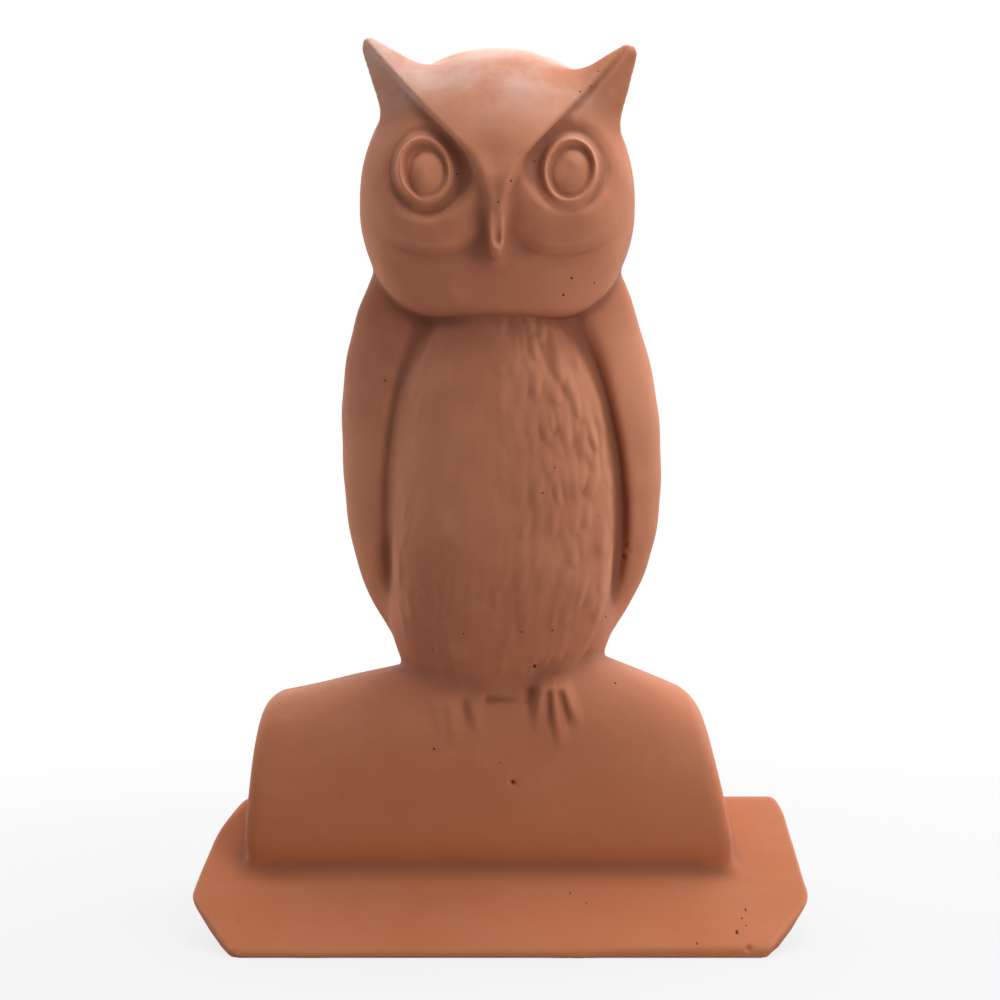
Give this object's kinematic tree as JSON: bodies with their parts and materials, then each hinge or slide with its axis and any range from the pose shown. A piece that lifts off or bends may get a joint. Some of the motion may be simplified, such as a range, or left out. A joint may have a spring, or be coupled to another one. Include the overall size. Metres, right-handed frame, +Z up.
{
  "type": "owl roof finial",
  "caption": "Hollow terracotta eared owl on a perch block and ridge tile; its channel sits over a roof ridge.",
  "frame": {"origin": "on the ground, under the middle of the ridge tile's box", "axes": "+Z up; +X along the ridge, to the right of a viewer who faces the owl; the owl looks along -Y"},
  "size_m": [0.3, 0.237, 0.4526],
  "materials": {
    "terracotta": "unglazed fired clay, matt, with pinholes and a pale bloom"
  },
  "bodies": {
    "root": {"owl_finial": "terracotta"}
  },
  "joints": []
}
